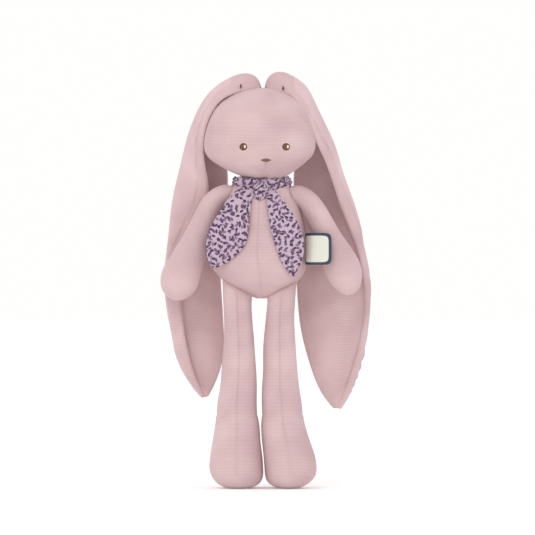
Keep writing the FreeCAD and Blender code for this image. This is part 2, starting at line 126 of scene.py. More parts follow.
def tube(name, rows, nv, nu, seams=(), lump=0.0003, power=2.0, seed=1.0):
    """rows: x, y, z, half width, half depth, tilt about Y in degrees."""
    R = spline(rows, nv)
    th = np.linspace(0, 2 * np.pi, nu, endpoint=False)
    c, s = np.cos(th), np.sin(th)
    cc, ss = np.sign(c) * np.abs(c) ** (2 / power), np.sign(s) * np.abs(s) ** (2 / power)
    tilt = np.radians(R[:, 5])
    U = np.stack([np.cos(tilt), 0 * tilt, -np.sin(tilt)], 1)
    a, b = R[:, 3][:, None], R[:, 4][:, None]
    a, b = np.maximum(a, 1e-5), np.maximum(b, 1e-5)
    rad = np.sqrt(a * b)
    inward = np.zeros((nv, nu))
    for at, width, depth, lo, hi in seams:
        f = np.linspace(0, 1, nv)[:, None]
        gate = np.clip((f - lo) / 0.03, 0, 1) * np.clip((hi - f) / 0.03, 0, 1)
        inward += groove(th[None, :], math.radians(at), rad, width, depth) * gate
    P = R[:, None, :3] + (a * cc)[..., None] * U[:, None, :] + (b * ss)[..., None] * np.array([0, 1, 0])
    out = P - R[:, None, :3]
    ln = np.linalg.norm(out, axis=2, keepdims=True) + 1e-9
    P = P + out / ln * (lump * wob(P, seed, 0.014) - inward)[..., None] * np.clip(rad / 0.006, 0, 1)[..., None]
    length = np.concatenate([[0], np.cumsum(np.linalg.norm(np.diff(R[:, :3], axis=0), axis=1) + 0.7 * np.abs(np.diff(rad[:, 0])))])
    UV = np.zeros((nv, nu, 2))
    UV[..., 0] = th[None, :] * float(rad.mean())
    UV[..., 1] = length[:, None]
    return grid_mesh(name, P, UV)


# ---- materials ---------------------------------------------------------------------
def lin(r, g, b):
    return tuple(((v / 255.0) / 12.92 if v / 255.0 <= 0.04045 else ((v / 255.0 + 0.055) / 1.055) ** 2.4) for v in (r, g, b)) + (1.0,)


def new_mat(name):
    m = bpy.data.materials.new(name)
    m.use_nodes = True
    nt = m.node_tree
    return m, nt, nt.nodes["Principled BSDF"]


def velour(name, dark, light, seed=0.0, bump=0.35):
    m, nt, b = new_mat(name)
    N, L = nt.nodes.new, nt.links.new
    uv = N("ShaderNodeUVMap"); uv.uv_map = "UVMap"
    warp = N("ShaderNodeTexNoise"); warp.inputs["Scale"].default_value = 90; warp.inputs["Detail"].default_value = 2
    L(uv.outputs[0], warp.inputs["Vector"])
    sep = N("ShaderNodeSeparateXYZ"); L(uv.outputs[0], sep.inputs[0])
    shift = N("ShaderNodeMath"); shift.operation = "MULTIPLY_ADD"; shift.inputs[1].default_value = 0.0009
    L(warp.outputs[0], shift.inputs[0]); L(sep.outputs[1], shift.inputs[2])
    rib = N("ShaderNodeMath"); rib.operation = "MULTIPLY"; rib.inputs[1].default_value = 2 * math.pi / 0.00125
    L(shift.outputs[0], rib.inputs[0])
    sine = N("ShaderNodeMath"); sine.operation = "SINE"; L(rib.outputs[0], sine.inputs[0])
    big = N("ShaderNodeTexNoise"); big.inputs["Scale"].default_value = 24; big.inputs["Detail"].default_value = 2
    L(uv.outputs[0], big.inputs["Vector"])
    fine = N("ShaderNodeTexNoise"); fine.inputs["Scale"].default_value = 1500; fine.inputs["Detail"].default_value = 2
    L(uv.outputs[0], fine.inputs["Vector"])
    a = N("ShaderNodeMath"); a.operation = "MULTIPLY_ADD"; a.inputs[1].default_value = 0.16; L(sine.outputs[0], a.inputs[0]); L(big.outputs[0], a.inputs[2])
    c = N("ShaderNodeMath"); c.operation = "MULTIPLY_ADD"; c.inputs[1].default_value = 0.35; L(fine.outputs[0], c.inputs[0]); L(a.outputs[0], c.inputs[2])
    ramp = N("ShaderNodeValToRGB")
    ramp.color_ramp.elements[0].position = 0.42; ramp.color_ramp.elements[0].color = lin(*dark)
    ramp.color_ramp.elements[1].position = 0.92; ramp.color_ramp.elements[1].color = lin(*light)
    L(c.outputs[0], ramp.inputs[0]); L(ramp.outputs[0], b.inputs["Base Color"])
    h = N("ShaderNodeMath"); h.operation = "MULTIPLY_ADD"; h.inputs[1].default_value = 0.5; L(sine.outputs[0], h.inputs[0]); L(fine.outputs[0], h.inputs[2])
    bp = N("ShaderNodeBump"); bp.inputs["Strength"].default_value = bump; bp.inputs["Distance"].default_value = 0.00022
    L(h.outputs[0], bp.inputs["Height"]); L(bp.outputs[0], b.inputs["Normal"])
    b.inputs["Roughness"].default_value = 0.95
    b.inputs["Specular IOR Level"].default_value = 0.15
    b.inputs["Sheen Weight"].default_value = 0.22
    b.inputs["Sheen Roughness"].default_value = 0.45
    b.inputs["Sheen Tint"].default_value = (1.0, 0.93, 0.94, 1)
    return m


VEL = velour("pink_velour", (194, 163, 166), (220, 193, 194))
# the ear lining is the same pink velour made a little lighter: painted light on the ears' inner faces
VEL_LINING_PAINTED_LIGHT = velour("ear_lining_velour", (202, 172, 175), (226, 199, 200))


def thread(name, dark, light, across=False):
    m, nt, b = new_mat(name)
    N, L = nt.nodes.new, nt.links.new
    uv = N("ShaderNodeUVMap"); uv.uv_map = "UVMap"
    w = N("ShaderNodeTexWave"); w.inputs["Scale"].default_value = 420; w.inputs["Distortion"].default_value = 1.5
    w.bands_direction = "Y" if across else "X"
    L(uv.outputs[0], w.inputs["Vector"])
    r = N("ShaderNodeValToRGB"); r.color_ramp.elements[0].color = lin(*dark); r.color_ramp.elements[1].color = lin(*light)
    L(w.outputs["Fac"], r.inputs[0]); L(r.outputs[0], b.inputs["Base Color"])
    bp = N("ShaderNodeBump"); bp.inputs["Strength"].default_value = 0.5; bp.inputs["Distance"].default_value = 0.0001
    L(w.outputs["Fac"], bp.inputs["Height"]); L(bp.outputs[0], b.inputs["Normal"])
    b.inputs["Roughness"].default_value = 0.5
    return m


BROWN = thread("brown_thread", (84, 50, 30), (122, 80, 50))
NOSE = thread("nose_thread", (98, 66, 48), (140, 102, 78), True)
WHITE = thread("white_thread", (235, 232, 228), (255, 255, 253))
PINKT = thread("pink_thread", (150, 112, 112), (184, 146, 146))


def printed(name):
    """Lilac cotton with two sizes of small leaves, drawn from cells in the cloth's own flat coordinates."""
    m, nt, b = new_mat(name)
    N, L = nt.nodes.new, nt.links.new
    uv = N("ShaderNodeUVMap"); uv.uv_map = "UVMap"
    base = lin(190, 170, 186)
    current = None
    for k, (cell, col, wide, long_, seed) in enumerate(((0.0052, (138, 108, 134), 0.21, 0.40, 8.7), (0.0050, (70, 42, 72), 0.20, 0.40, 3.1), (0.0056, (88, 58, 96), 0.18, 0.36, 15.3), (0.0049, (108, 78, 106), 0.20, 0.38, 23.9))):
        mp = N("ShaderNodeMapping"); mp.inputs["Location"].default_value = (seed, seed * 1.7, 0); mp.inputs["Scale"].default_value = (1 / cell,) * 3
        mp.inputs["Rotation"].default_value = (0, 0, 0.5 * k)
        L(uv.outputs[0], mp.inputs["Vector"])
        vo = N("ShaderNodeTexVoronoi"); vo.feature = "F1"; vo.voronoi_dimensions = "2D"; vo.inputs["Scale"].default_value = 1.0; vo.inputs["Randomness"].default_value = 0.45
        L(mp.outputs[0], vo.inputs["Vector"])
        sub = N("ShaderNodeVectorMath"); sub.operation = "SUBTRACT"; L(mp.outputs[0], sub.inputs[0]); L(vo.outputs["Position"], sub.inputs[1])
        sc = N("ShaderNodeSeparateColor"); L(vo.outputs["Color"], sc.inputs[0])
        ang = N("ShaderNodeMath"); ang.operation = "MULTIPLY"; ang.inputs[1].default_value = 6.283; L(sc.outputs[0], ang.inputs[0])
        rot = N("ShaderNodeVectorRotate"); rot.rotation_type = "Z_AXIS"; L(sub.outputs[0], rot.inputs["Vector"]); L(ang.outputs[0], rot.inputs["Angle"])
        sp = N("ShaderNodeSeparateXYZ"); L(rot.outputs[0], sp.inputs[0])
        # leaf: |y| < wide * (1 - (x/long)^2)
        x2 = N("ShaderNodeMath"); x2.operation = "DIVIDE"; x2.inputs[1].default_value = long_; L(sp.outputs[0], x2.inputs[0])
        xx = N("ShaderNodeMath"); xx.operation = "POWER"; xx.inputs[1].default_value = 2; 
        ab = N("ShaderNodeMath"); ab.operation = "ABSOLUTE"; L(x2.outputs[0], ab.inputs[0]); L(ab.outputs[0], xx.inputs[0])
        ya = N("ShaderNodeMath"); ya.operation = "ABSOLUTE"; L(sp.outputs[1], ya.inputs[0])
        yd = N("ShaderNodeMath"); yd.operation = "DIVIDE"; yd.inputs[1].default_value = wide; L(ya.outputs[0], yd.inputs[0])
        tot = N("ShaderNodeMath"); tot.operation = "ADD"; L(xx.outputs[0], tot.inputs[0]); L(yd.outputs[0], tot.inputs[1])
        edge = N("ShaderNodeMapRange"); edge.inputs["From Min"].default_value = 1.08; edge.inputs["From Max"].default_value = 0.92
        L(tot.outputs[0], edge.inputs["Value"])
        keep = N("ShaderNodeMath"); keep.operation = "GREATER_THAN"; keep.inputs[1].default_value = (0.15, 0.12, 0.4, 0.35)[k]; L(sc.outputs[1], keep.inputs[0])
        fac = N("ShaderNodeMath"); fac.operation = "MULTIPLY"; L(edge.outputs[0], fac.inputs[0]); L(keep.outputs[0], fac.inputs[1])
        mix = N("ShaderNodeMix"); mix.data_type = "RGBA"
        L(fac.outputs[0], mix.inputs["Factor"])
        if current is None: mix.inputs[6].default_value = base
        else: L(current, mix.inputs[6])
        mix.inputs[7].default_value = lin(*col)
        current = mix.outputs[2]
    L(current, b.inputs["Base Color"])
    weave = N("ShaderNodeTexNoise"); weave.inputs["Scale"].default_value = 2200; L(uv.outputs[0], weave.inputs["Vector"])
    bp = N("ShaderNodeBump"); bp.inputs["Strength"].default_value = 0.2; bp.inputs["Distance"].default_value = 0.0001
    L(weave.outputs[0], bp.inputs["Height"]); L(bp.outputs[0], b.inputs["Normal"])
    b.inputs["Roughness"].default_value = 0.8
    b.inputs["Sheen Weight"].default_value = 0.15
    return m


PRINT = printed("printed_cotton")


def give(ob, mat, body, nodes):
    ob.data.materials.append(mat)
    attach(ob, body) if body else None
    if nodes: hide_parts(*nodes)
    return ob


# ---- head --------------------------------------------------------------------------
outline = [(88.3, 254, 269), (89.2, 246, 277), (91, 238.5, 284), (94, 231, 291), (98, 224.5, 297), (103, 218.3, 302), (110, 212.8, 306.5), (118, 209, 310), (127, 206, 312.8), (136, 204.2, 314.8), (144, 203.4, 315.4), (151, 204.3, 314), (157, 207.6, 310.8), (162, 213.2, 305.5), (167, 221, 299.3), (171.5, 229.6, 293.2), (175.5, 239, 287), (178.5, 248, 280), (180.6, 256.5, 271.5)]
depth = lambda z: math.sqrt(max(0.0, 1 - ((z - 0.2985) / 0.0405) ** 2))
rows = []
for y, l, r in outline:
    z = Z(y)
    rows.append(((X(l) + X(r)) / 2, mm(-1.2) - (mm(3.5) * (1 if z < 0.29 else max(0, (0.33 - z) / 0.04))), z, (X(r) - X(l)) / 2, max(mm(5), mm(35.0) * depth(z)), 0))
head = tube("head_cover", rows, 190, 220, seams=[(0, 0.0006, 0.0004, 0.08, 0.93), (180, 0.0006, 0.0004, 0.08, 0.93), (90, 0.0006, 0.0004, 0.05, 0.95)], lump=0.0002, power=2.12, seed=2.0)
# chin dart: a shallow centre seam below the mouth, with a small notch
for v in head.data.vertices:
    p = v.co
    if p.y < -0.005 and p.z < Z(163.5):
        d = abs(p.x - X(264.2)) / 0.0008
        v.co.y += 0.0005 * math.exp(-d * d)
        if p.z < Z(176): v.co.z += 0.0007 * math.exp(-(d / 2.6) ** 2)
give(head, VEL, "head", ["head_filling", "face_panel", "head_back_left_panel", "head_back_right_panel"])
bpy.context.view_layer.update()


def on_face(x, z):
    hit, loc, nor, _ = head.ray_cast(Vector((x, -0.2, z)), Vector((0, 1, 0)))
    return (loc, nor) if hit else (Vector((x, -0.03, z)), Vector((0, -1, 0)))


def patch(name, cx, cz, wide, high, proud, mat, body, node, shape="oval", n=14, m=48):
    """Embroidery that follows the face: a low dome of stitches."""
    P = np.zeros((n, m, 3)); UV = np.zeros((n, m, 2))
    for i in range(n):
        f = i / (n - 1)
        rr = 1 - f
        for j in range(m):
            a = 2 * math.pi * j / m
            ca, sa = math.cos(a), math.sin(a)
            if shape == "lens":
                lx = ca; lz = (1 - abs(ca) ** 1.6) * (1 if sa >= 0 else -1) * (0.85 if sa >= 0 else 1.0)
            else:
                lx, lz = ca, sa
            x, z = cx + wide * lx * rr, cz + high * lz * rr
            loc, nor = on_face(x, z)
            lift = -0.0003 + (proud + 0.0003) * min(1.0, f * 3.2) ** 0.6 if f > 0 else -0.0003
            P[i, j] = loc + nor * lift
            UV[i, j] = (x, z)
    return give(grid_mesh(name, P, UV, caps=(False, True)), mat, body, [node] if node else [])


for side, ex in (("right", 243.1), ("left", 285.4)):
    ey = 147.9
    patch(side + "_eye_halo", X(ex), Z(ey), mm(4.3), mm(4.2), mm(0.12), velour("halo_" + side, (232, 208, 200), (244, 224, 214)), "head", None)
    patch(side + "_eye_stitch", X(ex), Z(ey), mm(3.65), mm(3.5), mm(0.5), BROWN, "head", side + "_eye")
    patch(side + "_eye_glint_stitch", X(ex + 1.6), Z(ey - 0.3), mm(0.95), mm(1.6), mm(0.75), WHITE, "head", side + "_eye_glint")
patch("nose_stitch", X(265.5), Z(161), mm(4.95), mm(1.75), mm(0.6), NOSE, "head", "nose", shape="lens")
patch("mouth_line", X(265.3), Z(165.2), mm(0.33), mm(1.9), mm(0.2), PINKT, "head", "mouth_stitch")

# ---- torso -------------------------------------------------------------------------
TR = [(X(258.5), 0, Z(173), mm(15), mm(13.5), 0), (X(259.5), 0, Z(178), mm(17), mm(14.5), 0), (X(259.8), 0, Z(184), mm(22), mm(16.5), 0), (X(259.8), 0, Z(189), mm(27.5), mm(19), 0), (X(259.5), 0, Z(197), mm(31.5), mm(21), 0), (X(258.8), 0, Z(209), mm(35), mm(23), 0), (X(257.8), 0, Z(225), mm(39), mm(24.8), 0), (X(257.2), 0, Z(242), mm(41.3), mm(26), 0), (X(257.0), 0, Z(257), mm(41.5), mm(26.3), 0), (X(258.6), 0, Z(268), mm(39.8), mm(25.2), 0), (X(259.8), 0, Z(276.5), mm(35), mm(22.8), 0), (X(260.2), 0, Z(284), mm(28), mm(19), 0), (X(260.6), 0, Z(290.5), mm(19), mm(14.5), 0), (X(260.8), 0, Z(295.6), mm(10), mm(9), 0), (X(260.8), 0, Z(298.4), mm(4), mm(4), 0)]
torso = tube("torso_cover", TR, 170, 220, seams=[(270, 0.0006, 0.0008, 0.05, 0.97), (0, 0.0007, 0.0004, 0.1, 0.8), (180, 0.0007, 0.0004, 0.1, 0.8), (90, 0.0007, 0.0004, 0.05, 0.97)], lump=0.0004, seed=4.0)
give(torso, VEL, "torso", ["torso_filling", "torso_front_left_panel", "torso_front_right_panel", "torso_back_panel", "seat_panel"])

# ---- arms --------------------------------------------------------------------------
AY = mm(-5)
def arm(side, pts, tilts):
    rows = [(X(x), AY, Z(y), mm(a), mm(b), t) for (x, y, a, b), t in zip(pts, tilts)]
    ob = tube(side + "_arm_cover", rows, 150, 150, seams=[(0, 0.0006, 0.0004, 0.06, 0.99), (180, 0.0006, 0.0004, 0.06, 0.99)], lump=0.0004, seed=7.0 if side == "left" else 9.0)
    return ob
ra = arm("right", [(229, 195, 8.0, 7.0), (222.5, 196.5, 10.2, 8.4), (214, 202.5, 10.4, 9.4), (207.2, 212.5, 9.9, 9.8), (201.5, 226.5, 10.6, 10.2), (195, 243, 12.2, 11), (187, 260, 14.2, 12), (181.3, 273, 15.8, 12.6), (178.5, 284, 15.6, 12.4), (176.9, 292, 12.8, 10.4), (176.2, 297.5, 8.2, 7), (176, 300.2, 3.6, 3.2)], [-66, -84, -112, -140, -152, -154, -157, -163, -170, -172, -173, -173])
la = arm("left", [(291.5, 196, 8.0, 7.0), (298.5, 197, 10.2, 8.4), (307.5, 203, 10.4, 9.4), (315, 213, 9.9, 9.8), (321.6, 226.5, 10.6, 10.2), (329, 242, 12.2, 11), (336.8, 256.5, 13.8, 12), (342, 267.5, 14.9, 12.6), (345.6, 278.5, 14.0, 12.2), (347.8, 286, 11.2, 10.2), (349, 291.8, 7.6, 7), (349.4, 294.8, 3.2, 3.0)], [66, 84, 112, 140, 150, 152, 156, 160, 164, 166, 166, 166])
for side, ob, px in (("right", ra, 1), ("left", la, -1)):
    ob.data.materials.append(VEL)
    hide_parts(side + "_arm_filling", side + "_arm_front_panel", side + "_arm_back_panel")
    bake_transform(ob)

# ---- legs --------------------------------------------------------------------------
def leg(side, pts):
    prof = {280: (1.0, 0), 300: (0, 0)}
    rows = []
    for x, y, hw, yc, hd in pts:
        rows.append((X(x), mm(yc), Z(y), hw * S, mm(hd), 0))
    ob = tube(side + "_leg_cover", rows, 230, 170, seams=[(270, 0.00055, 0.0009, 0.01, 0.955), (90, 0.00055, 0.0009, 0.01, 0.955)], lump=0.00045, power=2.15, seed=11.0 if side == "left" else 13.0)
    # the top edge is sewn along the slanted hip seam
    for v in ob.data.vertices:
        p = v.co
        if p.z > Z(312):
            f = min(1.0, (p.z - Z(312)) / (Z(296) - Z(312)))
            out = (X(260.5) - p.x) if side == "right" else (p.x - X(260.5))
            v.co.z += f * f * (out - 0.0135) * 0.47
    # ankle: a shallow pulled-in line
    for v in ob.data.vertices:
        d = (v.co.z - Z(414)) / 0.0011
        k = 1 - 0.02 * math.exp(-d * d)
        cx = X(236.6 if side == "right" else 281.8)
        v.co.x = cx + (v.co.x - cx) * k
        v.co.y = -0.003 + (v.co.y + 0.003) * k
        v.co.z = v.co.z * 1.0 - 0.00038 * math.exp(-v.co.z / 0.004)
    ob.data.update()
    ob.data.materials.append(VEL)
    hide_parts(side + "_leg_filling", side + "_leg_outer_panel", side + "_leg_inner_panel", side + "_sole")
    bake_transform(ob)
    return ob
leg("right", [(236.6, 290, 14.8, -4, 3), (236.7, 294, 14.8, -4, 7.0), (236.8, 302, 14.2, -4, 10.4), (237.4, 315, 14.0, -3.6, 12.2), (238, 330, 14.6, -3.2, 12.6), (238.6, 345, 15.4, -3, 13.4), (238.7, 360, 16.6, -3, 14.2), (237.8, 385, 18.3, -3, 15.2), (236.7, 402, 19.6, -3.2, 16.2), (236.5, 413, 20.3, -3.8, 17.0), (236.6, 425, 22.1, -5, 18.6), (236.3, 440, 23.7, -7, 21.4), (235.9, 455, 25.9, -9.4, 24.4), (235.7, 466, 26.9, -10.6, 26), (236.6, 474, 26.1, -10.8, 26.2), (237.6, 480, 23.4, -10.6, 24.4), (238, 484.4, 18.2, -10.4, 20.5), (238, 486.6, 11.6, -10.4, 14.6), (238, 487.3, 4, -10.4, 6)])
leg("left", [(281.5, 290, 14.8, -4, 3), (281.2, 294, 14.6, -4, 7.0), (280.6, 302, 13.8, -4, 10.4), (279.6, 315, 14.0, -3.6, 12.2), (279.2, 330, 15.2, -3.2, 12.6), (279.3, 345, 16.0, -3, 13.4), (279.4, 360, 16.7, -3, 14.2), (279.8, 385, 18.4, -3, 15.2), (281.2, 402, 19.8, -3.2, 16.2), (281.9, 413, 20.4, -3.8, 17.0), (282.7, 425, 21.9, -5, 18.6), (285.4, 440, 23.8, -7, 21.4), (288.6, 455, 25.9, -9.4, 24.4), (289.9, 466, 26.3, -10.6, 26), (289.8, 474, 25.4, -10.8, 26.2), (288.6, 480, 22.2, -10.6, 24.4), (288, 484.4, 16.8, -10.4, 20.5), (288, 486.6, 10.6, -10.4, 14.6), (288, 487.3, 4, -10.4, 6)])

# ---- ears --------------------------------------------------------------------------
# stations: front edge, fold, middle and rear edge, each (outline x, outline y, depth in mm)
EAR = {
"right": [
 ((259.5, 89.5, -7), (259.2, 89, -3), (259.2, 89, 3), (259.5, 89, 9)),
 ((256, 90.5, -7.5), (257.2, 80.5, -5), (257.2, 80, 3), (257, 80.5, 10)),
 ((249.5, 91.4, -9.5), (251.6, 76.2, -5), (251, 75.8, 4), (250, 77, 12)),
 ((240, 92.8, -11.5), (240.5, 76.4, -5), (240, 76.2, 6), (239.5, 79, 15)),
 ((229.5, 95.8, -13), (227.5, 81.8, -5), (227, 82, 8), (230.5, 85, 19)),
 ((219.0, 101.5, -13), (213.5, 91.4, -4), (213.5, 92.5, 11), (223, 96, 24)),
 ((212.3, 111.5, -12), (202, 106.5, -3), (203.5, 108, 14), (219, 110, 29)),
 ((206.4, 124, -11), (193.9, 124.5, -2), (198, 125, 17), (219, 125, 33)),
 ((203.2, 140, -9), (188.6, 140.5, 1), (194, 140, 20), (221, 140, 36)),
 ((203.0, 156, -6), (184.4, 156, 5), (191, 156, 23), (224, 156, 37)),
 ((205.6, 171, -1), (180.4, 171, 9), (190, 171, 26), (227, 171, 37)),
 ((208.5, 187, 6), (176.4, 187, 13), (190, 187, 29), (227, 187, 37)),
 ((204.5, 208, 13), (172.2, 208, 17), (189, 208, 30), (224, 208, 36)),
 ((193.5, 232, 17), (168.6, 232, 20), (188, 232, 30), (221, 232, 35)),
 ((182, 257, 18), (166.0, 257, 22), (188, 257, 29), (219.5, 257, 34)),
 ((178.5, 282, 18.5), (166.0, 282, 22.5), (188, 282, 29), (220, 282, 34)),
 ((180.5, 306, 19), (167.6, 306, 23), (190, 306, 29), (221.5, 306, 34)),
 ((183, 329, 19.5), (171.4, 329, 23.5), (193, 329, 28.5), (222.8, 329, 33)),
 ((186.8, 350, 20), (176.0, 350, 24), (196, 350, 28.5), (223.4, 350, 32)),
 ((191, 366, 21), (181.4, 366, 24.5), (199, 366, 28.5), (220.8, 366, 31)),
 ((195.8, 380, 22), (188.4, 380, 25), (201.5, 380, 28.5), (216.0, 380, 30.5)),
 ((200.6, 390.5, 24), (195.6, 390.5, 25.5), (203.6, 390.5, 28), (211.4, 390.5, 29)),
 ((203.6, 397.2, 26), (202.2, 397.4, 26.4), (205.0, 397.6, 27.6), (207.2, 397.2, 28)),
],
"left": [
 ((266, 89.5, -7), (266, 89, -3), (266, 89, 3), (266, 89, 9)),
 ((269, 90.8, -7.5), (267.4, 80, -5), (267.4, 79.5, 3), (268, 80, 10)),
 ((274.5, 91.6, -9.5), (272.2, 75.2, -5), (272.6, 75, 4), (274, 76, 12)),
 ((284, 94.6, -11.5), (281.5, 73.8, -5), (282, 73.8, 6), (284, 77, 15)),
 ((291.5, 96, -13.5), (292.5, 79.6, -5), (293, 80, 8), (293, 84, 19)),
 ((295.2, 103, -14), (304.8, 88.4, -4), (304, 90, 11), (297, 95, 24)),
 ((300.6, 112, -14), (311.4, 102, -3), (310, 104, 14), (299, 108, 29)),
 ((306.8, 124, -13), (320.6, 120.6, -2), (317, 122, 17), (299, 124, 33)),
 ((313.6, 139, -11), (329, 138, 1), (324, 138, 20), (298, 139, 36)),
 ((321.6, 154, -8), (335.4, 153.6, 5), (329, 154, 23), (296, 154, 37)),
 ((328.4, 170, -2), (340.2, 170, 9), (333, 170, 27), (293.6, 170, 36)),
 ((333.5, 186, 5), (346.4, 186, 14), (334, 186, 29), (293.2, 186, 33)),
 ((340, 206, 12), (353.4, 206, 18), (335, 206, 30), (294.4, 206, 32.5)),
 ((349.5, 230, 17), (360.4, 230, 21), (336, 230, 29.5), (295, 230, 32.5)),
 ((358, 254, 19.5), (365.4, 254, 23), (337, 254, 29), (295.6, 254, 32.5)),
 ((363, 279, 21), (368.2, 279, 24), (338, 279, 28.5), (296.2, 279, 32)),
 ((364.4, 304, 21.5), (368.3, 304, 24), (338, 304, 28), (297.6, 304, 31)),
 ((362.4, 328, 22), (366, 328, 24), (338, 328, 27.5), (300.2, 328, 30.5)),
 ((358, 350, 22.5), (362.9, 350, 24), (337, 350, 27), (305.2, 350, 30)),
 ((352, 368, 23), (358.2, 368, 24), (336.4, 368, 26.5), (310.6, 368, 29.5)),
 ((345.6, 386, 23.5), (352.4, 386, 24.5), (335.4, 386, 26.5), (317.2, 386, 29)),
 ((340.4, 400, 24.5), (345.6, 400, 25), (335.4, 400, 26.5), (325.2, 400, 28.5)),
 ((337.4, 408.6, 26), (339.4, 408.8, 26.2), (336, 409, 27), (333, 408.6, 27.6)),
],
}


def ear(side):
    st = EAR[side]
    nv, nu = 260, 64
    sgn = -1 if side == "right" else 1
    cols = [spline([(X(q[k][0]), mm(q[k][2]), Z(q[k][1])) for q in st], nv) for k in range(4)]
    mid = np.zeros((nv, nu, 3))
    for i in range(nv):
        mid[i] = spline([cols[k][i] for k in range(4)], nu)
    # even out the lengthwise lines of the cloth
    w = np.exp(-0.5 * (np.arange(-12, 13) / 4.5) ** 2); w /= w.sum()
    pad = np.concatenate([2 * mid[:1] - mid[12:0:-1], mid, 2 * mid[-1:] - mid[-2:-14:-1]], axis=0)
    mid = sum(w[k] * pad[k:k + nv] for k in range(25))
    du = np.gradient(mid, axis=1); dv = np.gradient(mid, axis=0)
    nrm = np.cross(du, dv); nrm /= np.linalg.norm(nrm, axis=2, keepdims=True) + 1e-12
    if side == "right": nrm = -nrm       # out of the back of the ear
    u = np.linspace(0, 1, nu)
    width = np.linalg.norm(np.diff(mid, axis=1), axis=2).sum(1)
    s = np.concatenate([np.zeros((nv, 1)), np.cumsum(np.linalg.norm(np.diff(mid, axis=1), axis=2), axis=1)], axis=1)
    edge = np.minimum(s, width[:, None] - s)
    half = 0.0017 * np.sqrt(np.clip(edge / 0.0028, 0, 1) * (2 - np.clip(edge / 0.0028, 0, 1))) + 0.00008
    # the seam that joins the lining, set in from the edge, and faint crossways waves in the cloth
    seam = np.exp(-((s - 0.0105) / 0.0007) ** 2) * 0.0009 * np.clip((np.linspace(0, 1, nv)[:, None] - 0.12) / 0.1, 0, 1)
    v = np.linspace(0, 1, nv)[:, None]
    ripple = 0.0004 * np.sin(v * 34 + s * 60) * np.clip(v * 3 - 0.6, 0, 1) * np.clip(edge / 0.008, 0, 1) + 0.0009 * np.sin(v * 11 + s * 95 + 1.0) * np.clip(v * 3 - 0.8, 0, 1) * np.clip(edge / 0.01, 0, 1)
    mid = mid + nrm * ripple[..., None]
    front = mid - nrm * (half - seam)[..., None]
    back = mid + nrm * half[..., None]
    P = np.concatenate([front, back[:, ::-1]], axis=1)
    length = np.concatenate([[0], np.cumsum(np.linalg.norm(np.diff(mid[:, nu // 2], axis=0), axis=1))])
    UV = np.zeros((nv, 2 * nu, 2))
    UV[:, :nu, 0] = s; UV[:, nu:, 0] = 0.2 + s[:, ::-1]
    UV[..., 1] = length[:, None]
    ob = grid_mesh(side + "_ear_cover", P, UV)
    ob.data.materials.append(VEL); ob.data.materials.append(VEL_LINING_PAINTED_LIGHT)
    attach(ob, side + "_ear")
    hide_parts(side + "_ear_outer_panel", side + "_ear_inner_panel")
    # lining on the inner face, behind the sewn seam, in the lighter copy of the velour that paints light onto it
    uvl = ob.data.uv_layers[0].data
    for f in ob.data.polygons:
        uu = uvl[f.loop_start].uv
        if uu.x < 0.15 and uu.x > 0.0105 and uu.y > 0.03:
            f.material_index = 1
    return ob
ear("right"); ear("left")

# small pleat tucks where each ear is tacked down near its root, coloured dark as painted shade in the crease
for side, (tx, ty) in (("right", (240.4, 87)), ("left", (282.6, 89))):
    c = np.array([X(tx), mm(-13.4), Z(ty)])
    P = np.zeros((8, 16, 3)); UV = np.zeros((8, 16, 2))
    for i in range(8):
        f = i / 7.0
        w = 0.0008 * math.sin(math.pi * min(0.98, max(0.06, f)))
        for j in range(16):
            a = 2 * math.pi * j / 16
            P[i, j] = c + np.array([w * math.cos(a), w * 0.6 * math.sin(a), (0.5 - f) * 0.0042])
            UV[i, j] = (P[i, j][0], P[i, j][2])
    # the dark mauve stands in for the shadow inside the pleat: painted shade, not the colour of the cloth
    m_, nt_, b_ = new_mat("pleat_shade_mat_" + side); b_.inputs["Base Color"].default_value = lin(96, 58, 64); b_.inputs["Roughness"].default_value = 0.95
    nz = nt_.nodes.new("ShaderNodeTexNoise"); nz.inputs["Scale"].default_value = 900
    bpn = nt_.nodes.new("ShaderNodeBump"); bpn.inputs["Distance"].default_value = 0.0001
    nt_.links.new(nz.outputs[0], bpn.inputs["Height"]); nt_.links.new(bpn.outputs[0], b_.inputs["Normal"])
    give(grid_mesh(side + "_ear_pleat_shade", P, UV), m_, side + "_ear", [])

# ---- scarf -------------------------------------------------------------------------
def scarf_tail(side, inner, outer, lean):
    n = 120; m = 48
    A = spline([(X(x), 0, Z(y)) for x, y in inner], n)
    B = spline([(X(x), 0, Z(y)) for x, y in outer], n)
    front, back, UVf = np.zeros((n, m, 3)), np.zeros((n, m, 3)), np.zeros((n, m))
    for i in range(n):
        v = i / (n - 1)
        for j in range(m):
            t = j / (m - 1)
            p = A[i] * (1 - t) + B[i] * t
            # lie on the belly, with soft folds that fan out from the knot
            hit, loc, nor, _ = torso.ray_cast(Vector((p[0], -0.2, p[2])), Vector((0, 1, 0)))
            ysurf = loc.y if hit else -0.013
            ysurf = min(ysurf, -0.0135)
            y = min(ysurf - 0.0016, -0.0215 - 0.006 * math.sin(math.pi * min(1, v * 1.1)))
            puff = 0.0022 * (4 * t * (1 - t)) ** 0.5 * min(1, v * 4 + 0.25)
            fold = 0.0011 * math.sin(t * 9 + lean) * math.exp(-v * 2.6)
            front[i, j] = (p[0], y - puff + fold, p[2])
            back[i, j] = (p[0], y + 0.0002 + 0.25 * puff + fold, p[2])
            UVf[i, j] = t * np.linalg.norm(B[i] - A[i])
    P = np.concatenate([front, back[:, ::-1]], axis=1)
    UV = np.zeros((n, 2 * m, 2))
    cx = (A[:, 0] + B[:, 0]) / 2
    UV[:, :m, 0] = front[:, :, 0] * 1.0; UV[:, m:, 0] = 0.3 + back[:, ::-1, 0]
    UV[..., 1] = P[..., 2]
    ob = grid_mesh("scarf_" + side + "_tail_cloth", P, UV)
    give(ob, PRINT, "scarf_" + side + "_tail", ["scarf_" + side + "_tail"])
    return ob
